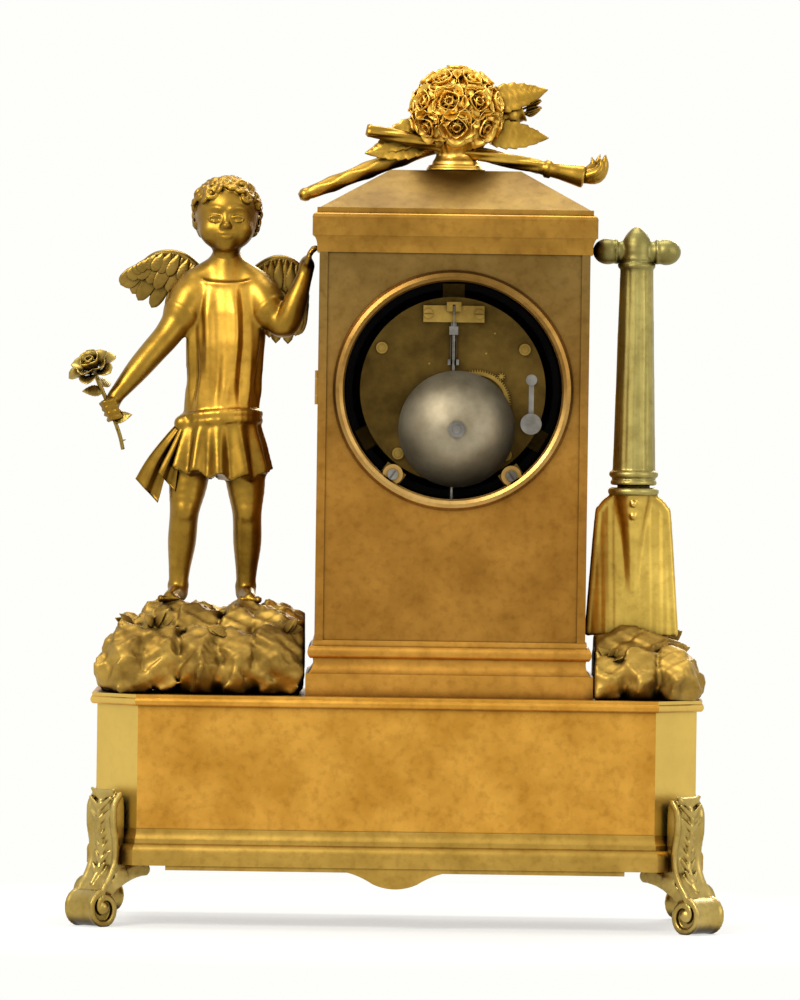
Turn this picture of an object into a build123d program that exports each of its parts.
from build123d import *
import os
from math import atan2, cos, hypot, pi, radians, sin, sqrt

# A gilt-bronze pendulette with a figure group and a striking pendulum movement.
# Lengths are in millimetres. +Z is up, the movement side faces -Y and the dial side faces +Y.

# Base: a plinth with canted corners that stands on four scroll feet
BASE_WIDTH = 215.0
BASE_DEPTH = 88.0
BASE_CANT = 15.0
BASE_BOTTOM = 22.0
BASE_WALL = 3.0
TERRACE = 83.0
TOP_PLATE = 4.0
TOP_REACH = 2.5
SKIRT_TOP = 35.0
SKIRT_REACH = 3.0
FOOT_WIDTH = 14.0
FOOT_REACH = 18.5
FOOT_ROLL = 7.0
FOOT_STUD = 2.0
STUD_INSET = 7.6

# Case: a square pedestal with a round opening on both faces
CASE_X = 18.5
CASE_WIDTH = 97.0
CASE_DEPTH = 66.0
CASE_WALL = 2.5
PLINTH_TOP = 103.0
CASE_TOP = 242.0
CORNICE_TOP = CASE_TOP + 16.0
ROOF_TOP = CORNICE_TOP + 14.0
PLINTH_REACH = 3.0
CORNICE_REACH = 2.6
CASE_LEFT = CASE_X - CASE_WIDTH / 2
CASE_RIGHT = CASE_X + CASE_WIDTH / 2
OPENING_RADIUS = 39.0
RING_WIDTH = 4.0
TIE_OFFSET = (43.0, 24.0)
TIE_RADIUS = 1.6

# Ground under the figure and the spade that stands at the right
LEFT_MOUND_TOP = 115.0
RIGHT_MOUND_TOP = 106.0
GROUND_GAP = 0.3
LEFT_MOUND = (CASE_LEFT - 40.4, 0.0)
LEFT_MOUND_HALF = (40.0, 41.0)
RIGHT_MOUND = (CASE_RIGHT + 22.6, -5.0)
RIGHT_MOUND_HALF = (20.2, 36.0)
FIGURE_X = CASE_LEFT - 34.0
SPADE_WIDTH = 32.0
SPADE_X = CASE_RIGHT + SPADE_WIDTH / 2 + 1.0
SPADE_Y = -14.0
SPADE_SHOULDER = 26.0
BLADE_HEIGHT = 50.0
BLADE_THICK = 2.6
BLADE_BEND = 40.0
SHAFT_LOW_RADIUS = 7.6
SHAFT_HIGH_RADIUS = 5.9
GRIP_Z = CASE_TOP + 1.7
GRIP_RADIUS = 4.3
GRIP_LENGTH = 26.0

# Movement, drawn about its own axis: u to the right, v up, d towards the movement side
MOVEMENT_Z = CASE_TOP - 49.0
PLATE_RADIUS = 33.5
PLATE_THICK = 2.0
BACK_PLATE_D = 4.0
FRONT_PLATE_D = -22.0
CASE_FACE_D = CASE_DEPTH / 2
PIVOT = 0.4
ARBOR = 0.6
RUNNING = 0.05
PILLAR_SPOTS = ((19.5, -23.2), (-19.5, -23.2), (25.8, 14.9), (-25.8, 14.9))
BELL_UV = (1.5, -14.0)
BELL_RADIUS = 21.0
BELL_MOUTH_D = 15.5
BELL_CROWN_D = 28.5
BELL_WALL = 1.4
PENDULUM_D = 13.2
PENDULUM_LENGTH = 97.0
SUSPENSION_V = 27.4
STRAP_ANGLES = (235.0, 305.0)
STAND_FOOT_UV = (10.0, -27.0)
HINGE_U = -48.2
HINGE_D = -36.2

# Tooth counts and arbor places of the two trains
GREAT_TEETH = 80
CENTRE_LEAVES = 10
CENTRE_TEETH = 84
THIRD_TEETH = 84
PIN_LEAVES = 8
PIN_TEETH = 64
WARNING_TEETH = 56
COUNT_TEETH = 80
TRAIN_LEAVES = 7
ESCAPE_TEETH = 40
ESCAPE_RADIUS = 8.0
CANNON_LEAVES = 12
MINUTE_TEETH = 36
HOUR_TEETH = 48
GOING_BARREL = (-12.2, -8.5)
STRIKE_BARREL = (12.2, -8.5)
THIRD = (-8.62, 9.38)
ESCAPE = (0.0, 17.48)
MINUTE_STUD = (0.0, 9.6)
HAMMER = (28.2, 4.0)

LONG = 400.0
ROUNDED = 1.06


def span(low, high, radius):
    """Cylinder about the local axis from one depth to another."""
    return Pos(0, 0, (low + high) / 2) * Cylinder(radius, high - low)


def block(x, y, z):
    """Box given by its three ranges."""
    size = [b - a for a, b in (x, y, z)]
    middle = [(a + b) / 2 for a, b in (x, y, z)]
    return Pos(*middle) * Box(*size)


def polar(radius, angle):
    return (radius * cos(angle), radius * sin(angle))


def bearing(start, end):
    return atan2(end[1] - start[1], end[0] - start[0])


def apart(a, b):
    return hypot(b[0] - a[0], b[1] - a[1])


def stepped(start, distance, degrees):
    """Place at a distance and a bearing from another place."""
    return (start[0] + distance * cos(radians(degrees)), start[1] + distance * sin(radians(degrees)))


def on_movement(shape, place=(0.0, 0.0)):
    """Sets a piece drawn about its own axis on the movement."""
    return Pos(CASE_X + place[0], 0, MOVEMENT_Z + place[1]) * Rot(90, 0, 0) * shape


def save(node, *pieces):
    solids = [solid for piece in pieces for solid in piece.solids()]
    export_step(Compound(solids), f"parts/{node}.step")


def octagon(grow=0.0):
    """Plan of the base, grown by an even margin."""
    plan = Rectangle(BASE_WIDTH + 2 * grow, BASE_DEPTH + 2 * grow)
    return chamfer(plan.vertices(), BASE_CANT + grow * (2 - sqrt(2)))


def base_sides():
    """Bearing and distance of the eight sides of the base."""
    corner = (BASE_WIDTH / 2 + BASE_DEPTH / 2 - BASE_CANT) / sqrt(2)
    distances = (BASE_WIDTH / 2, corner, BASE_DEPTH / 2, corner)
    return [(45 * k, distances[k % 4]) for k in range(8)]


def case_sides():
    """Bearing and distance of the four sides of the case."""
    return [(90 * k, (CASE_WIDTH, CASE_DEPTH)[k % 2] / 2) for k in range(4)]


def half_section(*edges):
    """Section of a moulding: its outer line, drawn upwards, closed far inside the block."""
    low, high = edges[0] @ 0, edges[-1] @ 1
    back = Polyline(high, (-LONG, high.Y), (-LONG, low.Y), low)
    return make_face([*edges, *back.edges()])


def moulded(section, sides):
    """Block that carries one moulding round all its sides, mitred at the corners."""
    whole = None
    for angle, distance in sides:
        prism = extrude(Plane.XZ * (Pos(distance, 0) * section), amount=LONG, both=True)
        prism = Rot(0, 0, angle) * prism
        whole = prism if whole is None else whole & prism
    return whole


def revolved(points):
    """Turned solid about local Z from a closed outline of (radius, height) points."""
    return revolve(Plane.XZ * make_face(Polyline(*points, close=True)), Axis.Z)


def build_base():
    top = TERRACE - TOP_PLATE
    walls = Pos(0, 0, BASE_BOTTOM) * extrude(octagon() - octagon(-BASE_WALL), amount=top - BASE_BOTTOM)
    spots = foot_spots()
    for x, y, angle in spots:
        lug = block((-13, -2), (-9, 9), (30, 33)) - Pos(-STUD_INSET, 0, 0) * span(29, 34, FOOT_STUD)
        lug = Pos(x, y, 0) * Rot(0, 0, angle) * lug
        walls += lug & (Pos(0, 0, 29) * extrude(octagon(-1), amount=5))
    save("base_walls", walls)

    ogee = half_section(
        Line((0, top), (TOP_REACH - 1, top)),
        ThreePointArc((TOP_REACH - 1, top), (TOP_REACH, top + 1.4), (TOP_REACH - 0.6, top + 2.8)),
        Line((TOP_REACH - 0.6, top + 2.8), (TOP_REACH - 0.6, TERRACE)),
    )
    plate = moulded(ogee, base_sides())
    for dx in (-1, 1):
        plate -= Pos(CASE_X + dx * TIE_OFFSET[0], TIE_OFFSET[1]) * span(top - 1, TERRACE + 1, TIE_RADIUS)
    save("base_top", plate)

    reach = SKIRT_REACH
    skirt_line = half_section(
        Line((reach, BASE_BOTTOM), (reach, BASE_BOTTOM + 4)),
        ThreePointArc((reach, BASE_BOTTOM + 4), (2.5, BASE_BOTTOM + 6.6), (1.2, BASE_BOTTOM + 7.8)),
        Line((1.2, BASE_BOTTOM + 7.8), (1.2, BASE_BOTTOM + 9.4)),
        ThreePointArc((1.2, BASE_BOTTOM + 9.4), (0.6, BASE_BOTTOM + 10.6), (0.4, SKIRT_TOP)),
    )
    skirt = moulded(skirt_line, base_sides())
    skirt -= Pos(0, 0, BASE_BOTTOM - 1) * extrude(octagon(), amount=30)
    drop = make_face([
        Line((-82, 22), (82, 22)), Line((82, 22), (82, 20.4)), Line((82, 20.4), (17, 20.4)),
        ThreePointArc((17, 20.4), (11.5, 18.4), (8, 16.4)), ThreePointArc((8, 16.4), (0, 14.6), (-8, 16.4)),
        ThreePointArc((-8, 16.4), (-11.5, 18.4), (-17, 20.4)), Line((-17, 20.4), (-82, 20.4)),
        Line((-82, 20.4), (-82, 22)),
    ])
    for side in (-1, 1):
        middle = side * (BASE_DEPTH / 2 + 0.9)
        skirt += Pos(0, middle, 0) * extrude(Plane.XZ * drop, amount=1.3, both=True)
    save("base_skirt", skirt)

    feet = []
    nuts = []
    for x, y, angle in spots:
        feet.append(Pos(x, y, 0) * Rot(0, 0, angle) * scroll_foot())
        nut = extrude(RegularPolygon(3.8, 6), amount=3.2) - span(-1, 5, FOOT_STUD)
        nuts.append(Pos(x, y, 0) * Rot(0, 0, angle) * Pos(-STUD_INSET, 0, 33) * nut)
    save("feet", *feet)
    return nuts


def foot_spots():
    """Middle of each canted corner and the bearing that it faces."""
    x = (BASE_WIDTH - BASE_CANT) / 2
    y = (BASE_DEPTH - BASE_CANT) / 2
    return [(x, y, 45), (-x, y, 135), (-x, -y, 225), (x, -y, 315)]


def scroll_foot():
    """One foot, drawn with x outwards: a leafy knee above a volute that bears on the table."""
    knee = SKIRT_REACH + 0.1
    roll = (FOOT_REACH - FOOT_ROLL, FOOT_ROLL - 0.3)
    body = make_face([
        Line((-11, BASE_BOTTOM), (knee, BASE_BOTTOM)),
        Line((knee, BASE_BOTTOM), (knee, 46)),
        ThreePointArc((knee, 46), (4.2, 48.4), (5.6, 47.6)),
        Spline((5.6, 47.6), (8.0, 40), (6.4, 27), (9.0, 17), (roll[0] + 1.5, roll[1] + 5)),
        Line((roll[0] + 1.5, roll[1] + 5), roll),
        Spline(roll, (1.5, 10.5), (-5, 15.5), (-11, 17)),
        Line((-11, 17), (-11, BASE_BOTTOM)),
    ])
    outline = body + Pos(*roll) * Circle(FOOT_ROLL)
    outline &= Pos(0, LONG / 2) * Rectangle(LONG, LONG)
    foot = extrude(Plane.XZ * outline, amount=FOOT_WIDTH / 2, both=True)
    eye = Cylinder(3.0, FOOT_WIDTH + 1.4)
    foot += Pos(roll[0], 0, roll[1]) * Rot(90, 0, 0) * eye
    return foot + Pos(-STUD_INSET, 0, 0) * span(BASE_BOTTOM - 1, 38, FOOT_STUD)


def rock_ring(centre, half, height, turn):
    """Rugged closed outline at one height of a mound."""
    points = []
    for k in range(13):
        angle = 2 * pi * k / 13
        worn = 1 - 0.05 * (1 + sin(3 * angle + turn)) - 0.04 * (1 + cos(5 * angle + 2 * turn))
        points.append((centre[0] + half[0] * worn * cos(angle), centre[1] + half[1] * worn * sin(angle), height))
    return make_face(Polyline(*points, close=True))


def mound(centre, half, top, turn, crown):
    """Rocky lump that narrows in two ledges from the terrace to its crown."""
    rise = top - TERRACE
    lost = 1 - crown
    stages = ((0.0, 1.0), (0.45, 1 - 0.27 * lost), (0.55, 1 - 0.62 * lost), (1.0, crown))
    rings = []
    for share, size in stages:
        rings.append(rock_ring(centre, (half[0] * size, half[1] * size), TERRACE + rise * share, turn + share))
    return loft(rings, ruled=True)


def build_ground():
    left = mound(LEFT_MOUND, LEFT_MOUND_HALF, LEFT_MOUND_TOP, 0.4, 0.84)
    right = mound(RIGHT_MOUND, RIGHT_MOUND_HALF, RIGHT_MOUND_TOP, 2.1, 0.74)
    margin = PLINTH_REACH + GROUND_GAP
    clear = block((CASE_LEFT - margin, CASE_RIGHT + margin), (-LONG, LONG), (TERRACE - 1, CASE_TOP))
    left -= clear
    right -= clear
    save("left_mound", left)
    save("right_mound", right)
    return left


def build_case():
    here = Pos(CASE_X, 0, 0)
    hollow_x = CASE_WIDTH / 2 - CASE_WALL
    hollow_y = CASE_DEPTH / 2 - CASE_WALL
    step = PLINTH_REACH
    foot_line = half_section(
        Line((step, TERRACE), (step, TERRACE + 8)),
        Line((step, TERRACE + 8), (step - 0.8, TERRACE + 8)),
        ThreePointArc((step - 0.8, TERRACE + 8), (0.8, TERRACE + 10), (0.5, TERRACE + 13.5)),
        Line((0.5, TERRACE + 13.5), (1.4, TERRACE + 13.5)),
        ThreePointArc((1.4, TERRACE + 13.5), (2.4, TERRACE + 15.7), (1.4, TERRACE + 17.9)),
        Line((1.4, TERRACE + 17.9), (0.6, TERRACE + 17.9)),
        Line((0.6, TERRACE + 17.9), (0.6, PLINTH_TOP)),
    )
    void = block((-hollow_x, hollow_x), (-hollow_y, hollow_y), (TERRACE - 5, CORNICE_TOP + 5))
    plinth = here * (moulded(foot_line, case_sides()) - void)
    save("case_plinth", plinth)

    body = block((-CASE_WIDTH / 2, CASE_WIDTH / 2), (-CASE_FACE_D, CASE_FACE_D), (PLINTH_TOP, CASE_TOP))
    for sx in (-1, 1):
        for sy in (-1, 1):
            edge = block((-1.5, 1.5), (-0.4, 0.4), (PLINTH_TOP, CASE_TOP))
            body += Pos(sx * (CASE_WIDTH / 2 - 1.5), sy * (CASE_FACE_D + 0.4), 0) * edge
    body -= void
    body -= Pos(0, 0, MOVEMENT_Z) * Rot(90, 0, 0) * Cylinder(OPENING_RADIUS, 2 * CASE_DEPTH)
    save("case_body", here * body)

    top_line = half_section(
        Line((0.9, CASE_TOP), (0.9, CASE_TOP + 2.4)),
        ThreePointArc((0.9, CASE_TOP + 2.4), (1.3, CASE_TOP + 4.4), (2.2, CASE_TOP + 6)),
        Line((2.2, CASE_TOP + 6), (CORNICE_REACH, CASE_TOP + 6)),
        Line((CORNICE_REACH, CASE_TOP + 6), (CORNICE_REACH, CASE_TOP + 12)),
        ThreePointArc((CORNICE_REACH, CASE_TOP + 12), (2.2, CASE_TOP + 13.6), (1.0, CASE_TOP + 14.2)),
        Line((1.0, CASE_TOP + 14.2), (1.0, CORNICE_TOP)),
    )
    save("cornice", here * (moulded(top_line, case_sides()) - void))

    roof = loft([
        Pos(0, 0, CORNICE_TOP) * Rectangle(CASE_WIDTH, CASE_DEPTH),
        Pos(0, 0, ROOF_TOP) * Rectangle(47, 24),
    ], ruled=True)
    roof -= loft([
        Pos(0, 0, CORNICE_TOP - 1) * Rectangle(CASE_WIDTH - 22, CASE_DEPTH - 10),
        Pos(0, 0, ROOF_TOP - 4) * Rectangle(34, 14),
    ], ruled=True)
    rods = []
    for sx in (-1, 1):
        spot = Pos(sx * TIE_OFFSET[0], TIE_OFFSET[1], 0)
        roof -= spot * span(CORNICE_TOP - 2, CORNICE_TOP + 1.2, TIE_RADIUS)
        rods.append(here * spot * span(TERRACE - 14, CORNICE_TOP + 1.2, TIE_RADIUS))
        nut = extrude(RegularPolygon(3.6, 6), amount=3) - span(-1, 4, TIE_RADIUS)
        rods.append(here * spot * Pos(0, 0, TERRACE - TOP_PLATE - 3) * nut)
    save("roof", here * roof)
    return rods


def limb(*stations):
    """Rounded tapering limb through stations of (x, y, z, radius)."""
    points = [Vector(*station[:3]) for station in stations]
    rings = []
    for k, station in enumerate(stations):
        ahead = points[min(k + 1, len(points) - 1)] - points[max(k - 1, 0)]
        rings.append(Plane(origin=points[k], z_dir=ahead) * Circle(station[3]))
    first, last = stations[0], stations[-1]
    ends = [Pos(*end[:3]) * Sphere(end[3] * ROUNDED) for end in (first, last)]
    return loft(rings) + ends


def build_figure(ground):
    trunk = loft([
        Pos(-67, 0, 161) * Ellipse(20.5, 15.5),
        Pos(-66.5, 0, 173) * Ellipse(18.5, 14),
        Pos(-65, 0, 187) * Ellipse(14.5, 11),
        Pos(-63.6, 0, 211) * Ellipse(15.5, 11.5),
        Pos(-63.6, 0, 229) * Ellipse(12.5, 8.5),
        Pos(-64, 0, 237) * Ellipse(6, 6),
    ])
    neck = limb((-64, 0, 232, 5.8), (-64, -0.5, 244, 5.4))
    head = Pos(-64, -1, 255) * Sphere(13.2)
    hair = []
    for k in range(9):
        angle = radians(20 + 40 * k)
        hair.append(Pos(-64 + 9.6 * cos(angle), 0.5 + 9.6 * sin(angle), 261.5) * Sphere(4.4))
    hair.append(Pos(-64, 0.5, 264.5) * Sphere(5.1))
    right_leg = limb((-76, 0, 168, 8.4), (-77, -2, 156, 7.8), (-78, -4, 145, 6.0), (-79, -1, 133, 6.2),
                     (-80, 0, 119, 4.0))
    left_leg = limb((-56, 0, 168, 8.4), (-55.4, -2, 156, 7.8), (-55, -3, 145, 6.0), (-55, 1, 133, 6.2),
                    (-55.4, 2, 119, 4.0))
    right_foot = limb((-80, 1.5, 118.6, 3.8), (-81, -5, 118.2, 4.0), (-82.2, -12, 117.4, 3.2))
    left_foot = limb((-55.4, 3.5, 118.6, 3.8), (-54.8, -3, 118.2, 4.0), (-54, -10, 117.4, 3.2))
    place = Pos(FIGURE_X + 64, 0, 0)
    figure = trunk + [neck, head, *hair, right_leg, left_leg, right_foot, left_foot]
    figure += limb((-83, -2, 172, 5.0), (-89, -1, 163, 4.2), (-93, 0, 154, 2.4))
    figure -= place.inverse() * ground

    bloom = (-111.0, -13.5, 200.5)
    stem_line = Spline(bloom, (-108.6, -13.8, 193), (-105.4, -13.5, 186), (-101.5, -14.5, 176), (-100, -14, 170))
    rose = sweep(Plane(origin=stem_line @ 0, z_dir=stem_line % 0) * Circle(1.1), path=stem_line)
    petals = [Pos(0, 0, 1.2) * Sphere(4.2)]
    for k in range(5):
        petals.append(Rot(0, 0, 72 * k + 10) * Pos(3.1, 0, 0) * Sphere(3.0))
    rose += [Pos(*bloom) * Rot(0, -20, 0) * petal for petal in petals]
    rose += limb((-107.4, -13.8, 190.5, 0.8), (-110.5, -15, 191.2, 1.6), (-113.5, -15.6, 190.2, 0.7))

    right_arm = limb((-75.5, -1, 226.5, 6.2), (-82.5, -4, 216, 5.6), (-90, -8, 206, 4.6), (-98, -11.5, 195, 4.0),
                     (-104, -13, 187.5, 3.2)) + Pos(-105.4, -13.5, 186) * Sphere(4.0)
    left_arm = limb((-52, -1, 226.5, 6.2), (-46.6, -5.2, 219.6, 5.3), (-42, -8.2, 216.4, 4.7), (-39, -9.2, 221.6, 4.2),
                    (-36.6, -8.8, 229, 3.4), (-35, -8, 234, 3.0)) + Pos(-34.2, -7.5, 236.2) * Sphere(3.9)
    right_arm = right_arm - figure - rose
    left_arm = left_arm - figure

    right_wing = wing(((-71, 230), (-79, 240.5), (-90, 241.5), (-98.5, 235), (-99, 224), (-89, 217), (-77, 218)))
    left_wing = wing(((-57, 231), (-48, 239), (-38, 236), (-34, 222), (-36, 208), (-43, 203), (-53, 218)))
    wings = []
    for piece in (right_wing, left_wing):
        wings.append(piece - figure - right_arm - left_arm)
    save("putto", place * figure)
    save("right_arm", place * right_arm)
    save("left_arm", place * left_arm)
    save("wings", *[place * piece for piece in wings])
    save("rose", place * rose)


def wing(outline):
    """Small spread wing behind the shoulders, from its outline in the front view."""
    face = make_face(Spline(*outline, periodic=True))
    plate = extrude(Plane.XZ * face, amount=-3.2)
    return Pos(0, 8.0, 0) * plate


def build_spade():
    """Garden spade that stands on the right mound with its grip beside the cornice."""
    here = Pos(SPADE_X, SPADE_Y, 0)
    low = RIGHT_MOUND_TOP
    high = low + BLADE_HEIGHT
    half, shoulder = SPADE_WIDTH / 2, SPADE_SHOULDER / 2
    neck = SHAFT_LOW_RADIUS * 0.7
    outline = make_face([
        Line((-half, low), (half, low)),
        Line((half, low), (shoulder, high - 9)),
        ThreePointArc((shoulder, high - 9), (shoulder - 2.4, high - 3), (neck, high)),
        Line((neck, high), (-neck, high)),
        ThreePointArc((-neck, high), (2.4 - shoulder, high - 3), (-shoulder, high - 9)),
        Line((-shoulder, high - 9), (-half, low)),
    ])
    shell = Cylinder(BLADE_BEND, 2 * LONG) - Cylinder(BLADE_BEND - BLADE_THICK, 2 * LONG)
    shell = Pos(0, BLADE_BEND - BLADE_THICK / 2, 0) * shell
    blade = extrude(Plane.XZ * outline, amount=BLADE_BEND / 2, both=True) & shell
    socket = loft([
        Pos(0, -0.6, low + 18) * Ellipse(1.4, 1.6),
        Pos(0, -0.3, low + 34) * Ellipse(3.6, 3.0),
        Pos(0, 0, high) * Ellipse(SHAFT_LOW_RADIUS - 1.2, SHAFT_LOW_RADIUS - 2.2),
    ])
    save("spade_blade", here * (blade + socket))

    collar = [(0, high), (7.8, high), (9.2, high + 1.6), (9.2, high + 3.2), (7.9, high + 4.6), (7.9, high + 6.4),
              (8.8, high + 7.6), (8.8, high + 8.8), (SHAFT_LOW_RADIUS, high + 10)]
    top = GRIP_Z - GRIP_RADIUS - 1.6
    shaft = revolved(collar + [(SHAFT_HIGH_RADIUS, top), (0, top)])
    save("spade_shaft", here * shaft)

    hub = revolved([(0, top), (5.2, top), (6.6, top + 1.2), (6.6, top + 2.6), (5.8, top + 4), (6.0, GRIP_Z + 3.4),
                    (4.6, GRIP_Z + 6.4), (2.4, GRIP_Z + 8), (0, GRIP_Z + 8.4)])
    ends = GRIP_LENGTH / 2
    grip = revolved([(0, -ends), (3.4, -ends), (GRIP_RADIUS + 0.4, 1.6 - ends), (GRIP_RADIUS, 4 - ends),
                     (GRIP_RADIUS - 0.9, 0), (GRIP_RADIUS, ends - 4), (GRIP_RADIUS + 0.4, ends - 1.6), (3.4, ends),
                     (0, ends)])
    save("spade_handle", here * (hub + Pos(0, 0, GRIP_Z) * Rot(0, 90, 0) * grip))


def along(start, end):
    """Plane at the start of an axis, looking along it."""
    return Plane(origin=start, z_dir=Vector(*end) - Vector(*start))


def build_trophy():
    middle = ROOF_TOP + 21
    centre = (CASE_X, 0, middle)
    quiver_low, quiver_high = (CASE_X - 56.5, 4.2, middle - 31), (CASE_X + 29.5, 4.2, middle + 4)
    torch_low, torch_high = (CASE_X - 32.5, -4.2, middle - 6.5), (CASE_X + 46.5, -4.2, middle - 22.5)
    long_quiver = Vector(*quiver_high).sub(Vector(*quiver_low)).length
    tube = revolved([(0, 0), (1.2, 0), (2.4, 3), (3.4, long_quiver * 0.5), (3.9, long_quiver - 12),
                     (4.5, long_quiver - 11), (4.5, long_quiver - 9), (3.9, long_quiver - 8), (3.9, long_quiver - 6),
                     (0, long_quiver - 6)])
    for k in range(3):
        spot = polar(1.9, radians(120 * k + 90))
        shaft = Pos(*spot) * span(long_quiver - 8, long_quiver + 1, 0.7)
        tube += shaft + Pos(spot[0], spot[1], long_quiver - 1.6) * Box(2.8, 0.8, 5)
    quiver = along(quiver_low, quiver_high) * tube

    long_torch = Vector(*torch_high).sub(Vector(*torch_low)).length
    stick = revolved([(0, 0), (1.6, 0), (2.2, 1.5), (2.4, long_torch - 15), (3.2, long_torch - 14),
                      (3.2, long_torch - 12), (2.6, long_torch - 11), (4.0, long_torch - 1), (3.4, long_torch),
                      (0, long_torch)])
    torch = along(torch_low, torch_high) * stick
    flame = limb((0, 0, 0, 2.6), (4.5, 0, 0.7, 3.2), (7, 0, 3.9, 2.3), (7.6, 0, 8.1, 0.8))
    torch += Pos(*torch_high) * flame

    bouquet = revolved([(0, ROOF_TOP), (10, ROOF_TOP), (10, ROOF_TOP + 2), (8.4, ROOF_TOP + 3.5), (7.4, ROOF_TOP + 6),
                        (9.5, ROOF_TOP + 10), (0, ROOF_TOP + 14)])
    bouquet = Pos(CASE_X, 0, 0) * bouquet + Pos(*centre) * Sphere(14.6)
    roses = []
    for count, level, start in ((1, 90, 0), (6, 50, 0), (9, 14, 20), (8, -20, 0)):
        for k in range(count):
            outwards = Rot(0, 0, start + 360 * k / count) * Rot(0, 90 - level, 0)
            roses.append(Pos(*centre) * outwards * Pos(0, 0, 13.0) * Sphere(4.7))
    bouquet = bouquet + roses - quiver - torch

    leaves = []
    for side, lift, turn in ((-1, -3, -28), (-1, -10, -12), (1, 3.5, 12), (1, -7, -4)):
        leaf = make_face([
            ThreePointArc((0, 0), (11, 5.6), (24, 0)),
            ThreePointArc((24, 0), (11, -5.6), (0, 0)),
        ])
        blade = extrude(Plane.XZ * leaf, amount=0.8, both=True)
        if side < 0:
            blade = mirror(blade, Plane.YZ)
        blade = Pos(CASE_X + side * 9.5, 0, middle + lift) * Rot(0, -turn * side, 0) * blade
        leaves.append(blade - bouquet - quiver - torch)
    save("quiver", quiver)
    save("torch", torch)
    save("bouquet", bouquet)
    save("leaves", *leaves)


def mesh_module(a, b, teeth, leaves):
    """Module that makes a wheel and a pinion meet on the line between two arbors."""
    return 2 * apart(a, b) / (teeth + leaves)


def toothed(teeth, module, low, high, phase, pinion=False, bore=0.0):
    """Wheel with crossings, or pinion, whose first tooth points along the phase angle."""
    share, rise, crest = (0.33, 0.7, 0.5) if pinion else (0.42, 0.9, 0.4)
    pitch = module * teeth / 2
    root = pitch - 1.35 * module
    half = pi * share / teeth
    flank = [(root, half), (pitch, half), (pitch + rise * module, half * crest)]
    points = []
    for k in range(teeth):
        middle = phase + 2 * pi * k / teeth
        points += [polar(radius, middle - wide) for radius, wide in flank]
        points += [polar(radius, middle + wide) for radius, wide in reversed(flank)]
    face = make_face(Polyline(*points, close=True))
    if not pinion and root > 5.5:
        window = Circle(root - 1.3) - Circle(3.0)
        for turn in (0, 90):
            window -= Rot(0, 0, turn) * Rectangle(4 * root, 1.7)
        face -= window
    if bore:
        face -= Circle(bore)
    return Pos(0, 0, low) * extrude(face, amount=high - low)


def towards(wheel, pinion, leaves):
    """Phases that put a wheel tooth into a pinion gap on their common line."""
    return bearing(wheel, pinion), bearing(pinion, wheel) + pi / leaves


def arbor(low=FRONT_PLATE_D + 0.2, high=BACK_PLATE_D + PLATE_THICK - 0.2):
    """Steel arbor with a pivot in each plate."""
    body = span(FRONT_PLATE_D + PLATE_THICK + 0.3, BACK_PLATE_D - 0.3, ARBOR)
    return body + span(low, high, PIVOT)


def build_plates(strike_places):
    pin, warning, fly, count = strike_places
    pivots = [(0.0, 0.0), THIRD, ESCAPE, warning, fly]
    back_high = BACK_PLATE_D + PLATE_THICK
    back = span(BACK_PLATE_D, back_high, PLATE_RADIUS)
    front = span(FRONT_PLATE_D, FRONT_PLATE_D + PLATE_THICK, PLATE_RADIUS)
    for turn in (90, 210, 330):
        front += Rot(0, 0, turn) * block((31, 38.4), (-4, 4), (FRONT_PLATE_D, FRONT_PLATE_D + PLATE_THICK))

    def bored(plate, place, radius):
        return plate - Pos(*place, 0) * Cylinder(radius, 4 * CASE_DEPTH)

    for place in pivots:
        back = bored(back, place, PIVOT + RUNNING)
    for place in pivots[1:] + [pin, HAMMER, (0.0, SUSPENSION_V)]:
        front = bored(front, place, PIVOT + RUNNING)
    front = bored(front, (0.0, 0.0), 1.0 + RUNNING)
    back = bored(back, (0.0, SUSPENSION_V), 2.5)
    back = bored(back, pin, ARBOR + RUNNING)
    back = bored(back, HAMMER, 1.0 + RUNNING)
    for place in (GOING_BARREL, STRIKE_BARREL):
        back = bored(back, place, 1.2 + RUNNING)
        front = bored(front, place, 2.2 + RUNNING)
    pillars = []
    for place in PILLAR_SPOTS:
        back = bored(back, place, 1.2)
        front = bored(front, place, 1.2)
        post = span(FRONT_PLATE_D + PLATE_THICK, BACK_PLATE_D, 1.9) + span(FRONT_PLATE_D, back_high + 2.2, 1.2)
        knob = span(back_high, back_high + 1.6, 2.1) - span(back_high - 1, back_high + 4, 1.2)
        pillars += [on_movement(post, place), on_movement(knob, place)]
    for side in (-1, 1):
        back = bored(back, (side * 9.2, SUSPENSION_V), 1.0)
    back = bored(back, STAND_FOOT_UV, 1.5)
    stud = span(back_high - 1, 8.4, 1.2) + span(7.8, 8.4, 2.0)
    back += Pos(*count, 0) * stud
    front += Pos(*MINUTE_STUD, 0) * (span(-27, FRONT_PLATE_D + 1, 1.0) + span(-27, -26.4, 1.6))
    save("back_plate", on_movement(back))
    save("front_plate", on_movement(front))
    save("pillars", *pillars)


def barrel(drum_low, drum_high, wheel_low, wheel_high, module, phase):
    """Spring barrel: a closed drum with the great wheel cut on one end."""
    bore = 1.6 + RUNNING
    drum = span(drum_low, drum_high, 11.3) - span(drum_low + 1, drum_high - 1, 10.3)
    wheel = toothed(GREAT_TEETH, module, wheel_low, wheel_high, phase)
    rim = span(wheel_low, wheel_high, 11.3)
    return drum + wheel + rim - span(drum_low - 5, drum_high + 5, bore)


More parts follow.
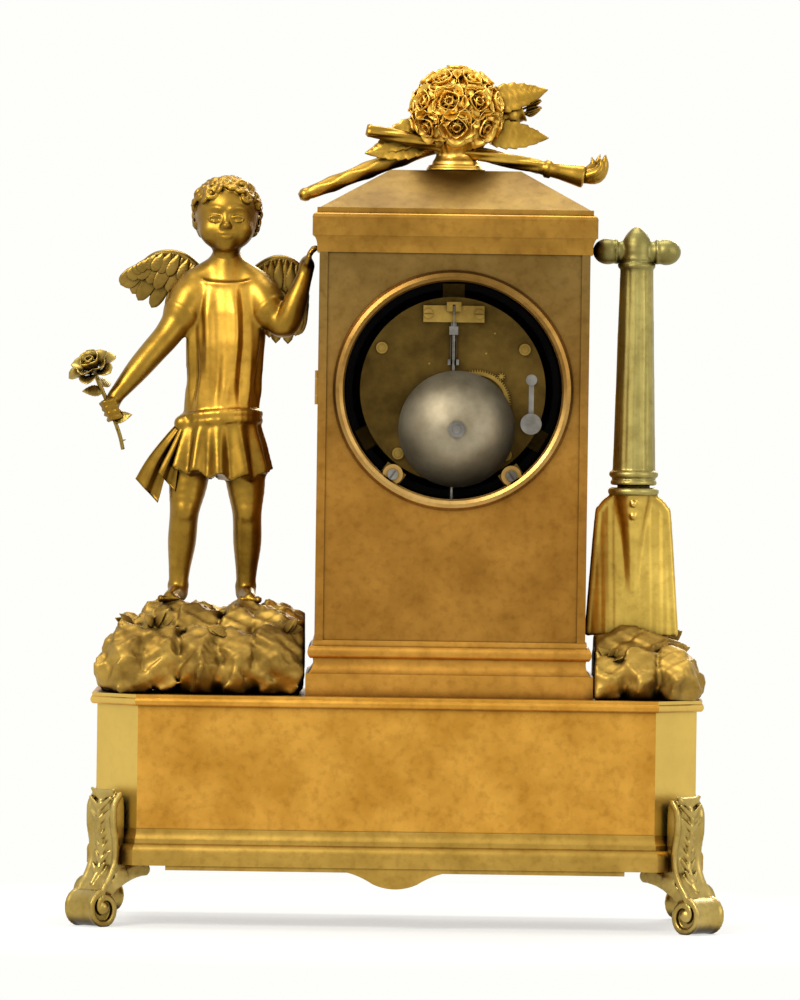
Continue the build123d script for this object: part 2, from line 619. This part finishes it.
def mainspring(low, high):
    """Ribbon coiled between the hub of the arbor and the wall of the barrel."""
    turns, inner, outer, thick = 7, 3.8, 9.9, 0.4
    steps = 12 * turns
    inside, outside = [], []
    for k in range(steps + 1):
        radius = inner + (outer - inner) * k / steps
        inside.append(polar(radius, 2 * pi * k / 12))
        outside.append(polar(radius + thick, 2 * pi * k / 12))
    ribbon = make_face([
        Spline(*inside), Line(inside[-1], outside[-1]), Spline(*reversed(outside)), Line(outside[0], inside[0]),
    ])
    return Pos(0, 0, low) * extrude(ribbon, amount=high - low)


def winding_arbor(drum_low, drum_high):
    """Barrel arbor with a hub for the spring and a square for the key."""
    steel = span(FRONT_PLATE_D + PLATE_THICK + 0.1, BACK_PLATE_D - 0.2, 1.6) + span(0, BACK_PLATE_D + 1.8, 1.2)
    steel += span(drum_low + 1.3, drum_high - 1.3, 3.3)
    steel += span(FRONT_PLATE_D - 0.4, FRONT_PLATE_D + PLATE_THICK + 0.4, 2.2)
    return steel + block((-1.5, 1.5), (-1.5, 1.5), (-31.2, FRONT_PLATE_D))


def build_going_train():
    centre = (0.0, 0.0)
    first = mesh_module(GOING_BARREL, centre, GREAT_TEETH, CENTRE_LEAVES)
    wheel_phase, leaf_phase = towards(GOING_BARREL, centre, CENTRE_LEAVES)
    save("going_barrel", on_movement(barrel(-15, -2, -17, -15, first, wheel_phase), GOING_BARREL))
    save("going_spring", on_movement(mainspring(-13.6, -3.4), GOING_BARREL))
    save("going_arbor", on_movement(winding_arbor(-15, -2), GOING_BARREL))

    second = mesh_module(centre, THIRD, CENTRE_TEETH, TRAIN_LEAVES)
    next_phase, third_phase = towards(centre, THIRD, TRAIN_LEAVES)
    wheel = toothed(CENTRE_LEAVES, first, -17.4, -14.6, leaf_phase, pinion=True)
    wheel += toothed(CENTRE_TEETH, second, -19.4, -18.2, next_phase)
    wheel += arbor(low=-21) + span(-34.4, -18, 1.0) + span(-34.6, -33.5, 1.7)
    save("centre_wheel", on_movement(wheel))

    last = mesh_module(THIRD, ESCAPE, THIRD_TEETH, TRAIN_LEAVES)
    next_phase, escape_phase = towards(THIRD, ESCAPE, TRAIN_LEAVES)
    wheel = toothed(TRAIN_LEAVES, second, -19.6, -18.0, third_phase, pinion=True)
    wheel += [toothed(THIRD_TEETH, last, 1.8, 3.0, next_phase), arbor()]
    save("third_wheel", on_movement(wheel, THIRD))

    points = []
    for k in range(ESCAPE_TEETH):
        pitch = 2 * pi / ESCAPE_TEETH
        for radius, share in ((6.6, 0.0), (ESCAPE_RADIUS, 0.1), (ESCAPE_RADIUS, 0.2), (6.6, 0.6)):
            points.append(polar(radius, (k + share) * pitch))
    rim = make_face(Polyline(*points, close=True)) - (Circle(5.6) - Circle(2.4) - Rectangle(20, 1.5) - Rectangle(1.5, 20))
    wheel = Pos(0, 0, -3) * extrude(rim, amount=1.0)
    wheel += [toothed(TRAIN_LEAVES, last, 1.6, 3.2, escape_phase, pinion=True), arbor()]
    save("escape_wheel", on_movement(wheel, ESCAPE))


def build_escapement():
    place = (0.0, SUSPENSION_V)
    drop = SUSPENSION_V - ESCAPE[1]
    wedge = make_face(Polyline((0, 0), polar(20, radians(52)), polar(20, radians(128)), close=True))
    arch = ((Circle(drop + 0.5) - Circle(drop - 0.9)) & wedge)
    for degrees in (56, 124):
        arch += Rot(0, 0, degrees) * Pos(drop - 0.8, 0) * Rectangle(1.1, 1.2)
    anchor = Pos(0, -drop, -3.1) * extrude(arch, amount=1.2) + span(-3.1, -1.9, 1.7)
    anchor += span(FRONT_PLATE_D + PLATE_THICK + 0.3, 8.6, 0.8) + span(FRONT_PLATE_D + 0.2, 11.0, PIVOT)
    anchor += block((-1, 1), (-17.4, 0), (7, 8)) + block((-2, 2), (-18.4, -16.4), (7, 8))
    for side in (-1, 1):
        anchor += Pos(side * 1.525, -17.4, 11) * Box(0.95, 2, 8)
    save("anchor", on_movement(anchor, place))

    cock = block((-11, 11), (-3, 3), (9, 11.2))
    for side in (-1, 1):
        cock += Pos(side * 9.25, 0, 7.5) * Box(3.5, 6, 3)
    cock -= span(5, 20, PIVOT + RUNNING)
    holder = block((-2.6, 2.6), (0.9, 4.3), (11, 15)) - block((-0.5, 0.5), (0, 3.4), (11.4, 16))
    cock += holder
    screws = []
    for side in (-1, 1):
        cock -= Pos(side * 9.2, 0, 0) * span(4, 14, 1.0)
        screw = span(4.4, 11.2, 1.0) + span(11.2, 12.4, 1.7) - block((-2, 2), (-0.25, 0.25), (11.9, 13))
        screws.append(on_movement(Pos(side * 9.2, 0, 0) * screw, place))
    save("suspension_cock", on_movement(cock, place), *screws)

    depth = (PENDULUM_D - 1.5, PENDULUM_D + 1.5)
    spring = block((-0.15, 0.15), (-4.5, 2.8), depth)
    low = -PENDULUM_LENGTH - 16
    rod = Pos(0, (low - 5) / 2, PENDULUM_D) * Rot(90, 0, 0) * Cylinder(0.9, -5 - low)
    hook = block((-1.6, 1.6), (-7.5, -4.5), depth)
    lens = revolve(Plane.XZ * make_face([
        ThreePointArc((0, -3.2), (7, -2.1), (11, -0.7)), Line((11, -0.7), (11, 0.7)),
        ThreePointArc((11, 0.7), (7, 2.1), (0, 3.2)), Line((0, 3.2), (0, -3.2)),
    ]), Axis.Z)
    bob = Pos(0, -PENDULUM_LENGTH, PENDULUM_D) * lens - rod
    nut = Pos(0, -PENDULUM_LENGTH - 12.6, PENDULUM_D) * Rot(90, 0, 0) * Cylinder(2.5, 2.6) - rod
    save("suspension_spring", on_movement(spring, place))
    save("pendulum_rod", on_movement(rod + hook, place))
    save("pendulum_bob", on_movement(bob, place), on_movement(nut, place))


def build_strike_train():
    first = mesh_module(GOING_BARREL, (0.0, 0.0), GREAT_TEETH, CENTRE_LEAVES)
    pin = stepped(STRIKE_BARREL, first * (GREAT_TEETH + PIN_LEAVES) / 2, 69)
    warning = stepped(pin, 0.28 * (PIN_TEETH + TRAIN_LEAVES) / 2, 124)
    fly = stepped(warning, 0.25 * (WARNING_TEETH + TRAIN_LEAVES) / 2, 67)
    count = stepped(pin, 0.30 * (COUNT_TEETH + PIN_LEAVES) / 2, 229)

    wheel_phase, pin_phase = towards(STRIKE_BARREL, pin, PIN_LEAVES)
    save("strike_barrel", on_movement(barrel(-14, -1, -1, 1, first, wheel_phase), STRIKE_BARREL))
    save("strike_spring", on_movement(mainspring(-12.6, -2.4), STRIKE_BARREL))
    save("strike_arbor", on_movement(winding_arbor(-14, -1), STRIKE_BARREL))

    next_phase, warning_phase = towards(pin, warning, TRAIN_LEAVES)
    count_phase, outer_phase = towards(count, pin, PIN_LEAVES)
    wheel = toothed(PIN_LEAVES, first, -1.2, 1.2, pin_phase, pinion=True)
    wheel += [toothed(PIN_TEETH, 0.28, -16.2, -15, next_phase), arbor(high=4), span(-15, 8, ARBOR)]
    wheel += toothed(PIN_LEAVES, 0.30, 6.4, 7.8, outer_phase, pinion=True)
    for k in range(9):
        wheel += Pos(*polar(7.4, 2 * pi * k / 9), 0) * span(-18, -15.5, 0.5)
    save("pin_wheel", on_movement(wheel, pin))
    wheel = toothed(COUNT_TEETH, 0.30, 6.6, 7.6, count_phase, bore=1.2 + RUNNING)
    save("count_wheel", on_movement(wheel, count))

    next_phase, fly_phase = towards(warning, fly, TRAIN_LEAVES)
    wheel = toothed(TRAIN_LEAVES, 0.28, -16.4, -14.8, warning_phase, pinion=True)
    wheel += [toothed(WARNING_TEETH, 0.25, -9.2, -8, next_phase), arbor()]
    save("warning_wheel", on_movement(wheel, warning))
    fan = toothed(TRAIN_LEAVES, 0.25, -9.4, -7.8, fly_phase, pinion=True)
    fan += [arbor(), block((-5, 5), (-0.3, 0.3), (-7, 2))]
    save("fly", on_movement(fan, fly))

    head = (0.0, -15.8)
    length = hypot(*head)
    hammer = span(FRONT_PLATE_D + PLATE_THICK + 0.3, 18.6, 1.0) + span(FRONT_PLATE_D + 0.2, 0, PIVOT)
    arm = Pos(length / 2, 0, 17.5) * Box(length, 1.8, 1.4)
    hammer += Rot(0, 0, atan2(head[1], head[0]) * 180 / pi) * arm
    hammer += [Pos(*head, 0) * span(15.6, 19.6, 3.8), span(16.6, 18.8, 2.0)]
    tail = Pos(1.3, 0, -17.3) * Box(2.6, 1.2, 1.2)
    hammer += Rot(0, 0, bearing(HAMMER, pin) * 180 / pi) * tail
    save("hammer", on_movement(hammer, HAMMER))
    return pin, warning, fly, count


def build_bell():
    rise = BELL_CROWN_D - BELL_MOUTH_D
    sunk = (BELL_RADIUS ** 2 - rise ** 2) / (2 * rise)
    dome = Sphere(rise + sunk) - Sphere(rise + sunk - BELL_WALL)
    bell = Pos(0, 0, BELL_MOUTH_D - sunk) * dome & span(BELL_MOUTH_D, BELL_CROWN_D + 1, LONG)
    bell -= span(0, BELL_CROWN_D + 1, 1.5)
    save("bell", on_movement(bell, BELL_UV))

    shoulder = BELL_CROWN_D - BELL_WALL - 0.4
    path = FilletPolyline((*STAND_FOOT_UV, BACK_PLATE_D), (*STAND_FOOT_UV, 18.5), (*BELL_UV, 23.2),
                          (*BELL_UV, shoulder), radius=2.5)
    post = sweep(Plane(origin=path @ 0, z_dir=path % 0) * Circle(1.5), path=path)
    post += Pos(*BELL_UV, 0) * (span(shoulder - 1.2, shoulder, 2.3) + span(shoulder - 1, BELL_CROWN_D + 2.2, 1.5))
    nut = extrude(RegularPolygon(3.3, 6), amount=1.8) - span(-1, 3, 1.5)
    save("bell_stand", on_movement(post), on_movement(Pos(*BELL_UV, BELL_CROWN_D) * nut))


def build_mounting():
    face = CASE_FACE_D
    rim = OPENING_RADIUS + RING_WIDTH
    ring = revolved([(OPENING_RADIUS, face), (rim, face), (rim, face + 0.8), (rim - 0.9, face + 2.4),
                     (rim - 2.2, face + 3.1), (OPENING_RADIUS + 0.6, face + 2.6), (OPENING_RADIUS, face + 1.6)])
    straps = []
    screws = []
    for degrees in STRAP_ANGLES:
        turn = Rot(0, 0, degrees)
        hole = Pos(37, 0, 0) * span(20, 60, 1.2)
        ring += turn * Pos(37, 0, 0) * span(face, face + 1.6, 3.6)
        ring -= turn * hole
        strap = block((36.7, 38.4), (-4, 4), (FRONT_PLATE_D, face)) + block((34.4, 38.4), (-4, 4), (28.5, face))
        straps.append(on_movement(turn * (strap - hole)))
        screw = span(29, face + 1.6, 1.2) + span(face + 1.6, face + 3.1, 1.9)
        screw -= block((-3, 3), (-0.35, 0.35), (face + 2.5, face + 4))
        screws.append(on_movement(turn * Pos(37, 0, 0) * screw))
    save("rear_ring", on_movement(ring))
    save("straps", *straps)
    save("strap_screws", *screws)


def build_motion_work():
    centre = (0.0, 0.0)
    outer = mesh_module(centre, MINUTE_STUD, MINUTE_TEETH, CANNON_LEAVES)
    inner = mesh_module(centre, MINUTE_STUD, HOUR_TEETH, CANNON_LEAVES)
    minute_phase, cannon_phase = towards(MINUTE_STUD, centre, CANNON_LEAVES)
    hour_phase, leaf_phase = towards(centre, MINUTE_STUD, CANNON_LEAVES)
    cannon = toothed(CANNON_LEAVES, outer, -24.4, -22.4, cannon_phase, pinion=True) + span(-32.6, -22.4, 1.8)
    cannon -= span(-40, 0, 1.0 + RUNNING)
    save("cannon_pinion", on_movement(cannon))
    wheel = toothed(MINUTE_TEETH, outer, -24.2, -23.2, minute_phase)
    wheel += toothed(CANNON_LEAVES, inner, -26.2, -23.2, leaf_phase, pinion=True)
    save("minute_wheel", on_movement(wheel - span(-40, 0, 1.0 + RUNNING), MINUTE_STUD))
    wheel = toothed(HOUR_TEETH, inner, -25.8, -24.8, hour_phase) + span(-31.4, -24.8, 2.9)
    save("hour_wheel", on_movement(wheel - span(-40, 0, 1.8 + RUNNING)))

    save("hour_hand", on_movement(hand(4.2, 1.85, 17.5, 2.5, 24.5, -31.9, -31.4, 305)))
    save("minute_hand", on_movement(hand(3.2, 1.05, 26.0, 2.1, 33.0, -33.2, -32.6, 60)))


def hand(hub, bore, eye, eye_radius, tip, low, high, clock_angle):
    """Hand with a pierced eye near its tip, turned clockwise from twelve as seen at the dial."""
    shape = Circle(hub) + Pos(0, eye / 2) * Rectangle(1.3, eye) + Pos(0, eye) * Circle(eye_radius)
    point = Polyline((-0.9, eye + eye_radius - 0.4), (0.9, eye + eye_radius - 0.4), (0, tip), close=True)
    shape += make_face(point)
    shape += Pos(0, -3 - hub / 2) * Rectangle(1.3, 6)
    shape -= [Circle(bore), Pos(0, eye) * Circle(eye_radius - 0.9)]
    return Rot(0, 0, clock_angle) * Pos(0, 0, low) * extrude(shape, amount=high - low)


def build_dial():
    dial = span(-30.5, -29, 36.4)
    for place in (GOING_BARREL, STRIKE_BARREL):
        dial -= Pos(*place, 0) * span(-32, -28, 3.3)
    dial -= span(-32, -28, 3.4)
    for degrees in (60, 180, 300):
        dial += Pos(*polar(30, radians(degrees)), 0) * span(-29.5, FRONT_PLATE_D, 0.8)
    save("dial", on_movement(dial))

    surround = revolved([(36.6, -22), (38.9, -22), (38.9, -33), (45.4, -33), (45.4, -34.2), (43.6, -35), (38.2, -35),
                         (36.6, -33.2), (35.2, -32), (35.2, -30.55), (36.6, -30.55)])
    axis = Pos(HINGE_U, 0, HINGE_D) * Rot(90, 0, 0)
    for side in (-1, 1):
        middle = side * 4.65
        surround += Pos(0, middle, 0) * axis * Cylinder(2.0, 3.1)
        surround += Pos(0, middle, 0) * block((-49.2, -44.4), (-1.55, 1.55), (-35.2, -33.9))
    surround -= axis * Cylinder(0.8, 40)
    pin = axis * Cylinder(0.8, 13.4)
    save("dial_surround", on_movement(surround), on_movement(pin))

    door = revolved([(40, -35.4), (46, -35.4), (46, -36.6), (44.6, -38.8), (42.2, -39.5), (37.8, -39.1), (37.8, -38.3),
                     (40, -38.3)])
    door += axis * Cylinder(2.0, 6.1) + block((HINGE_U, -44.4), (-3.05, 3.05), (-38.1, HINGE_D))
    door -= axis * Cylinder(0.8 + RUNNING, 40)
    save("bezel_door", on_movement(door))
    save("bezel_glass", on_movement(span(-38.3, -36.8, 40)))


os.makedirs("parts", exist_ok=True)
fixings = build_base()
hill = build_ground()
fixings += build_case()
save("fixings", *fixings)
build_figure(hill)
build_spade()
build_trophy()
places = build_strike_train()
build_plates(places)
build_going_train()
build_escapement()
build_bell()
build_mounting()
build_motion_work()
build_dial()
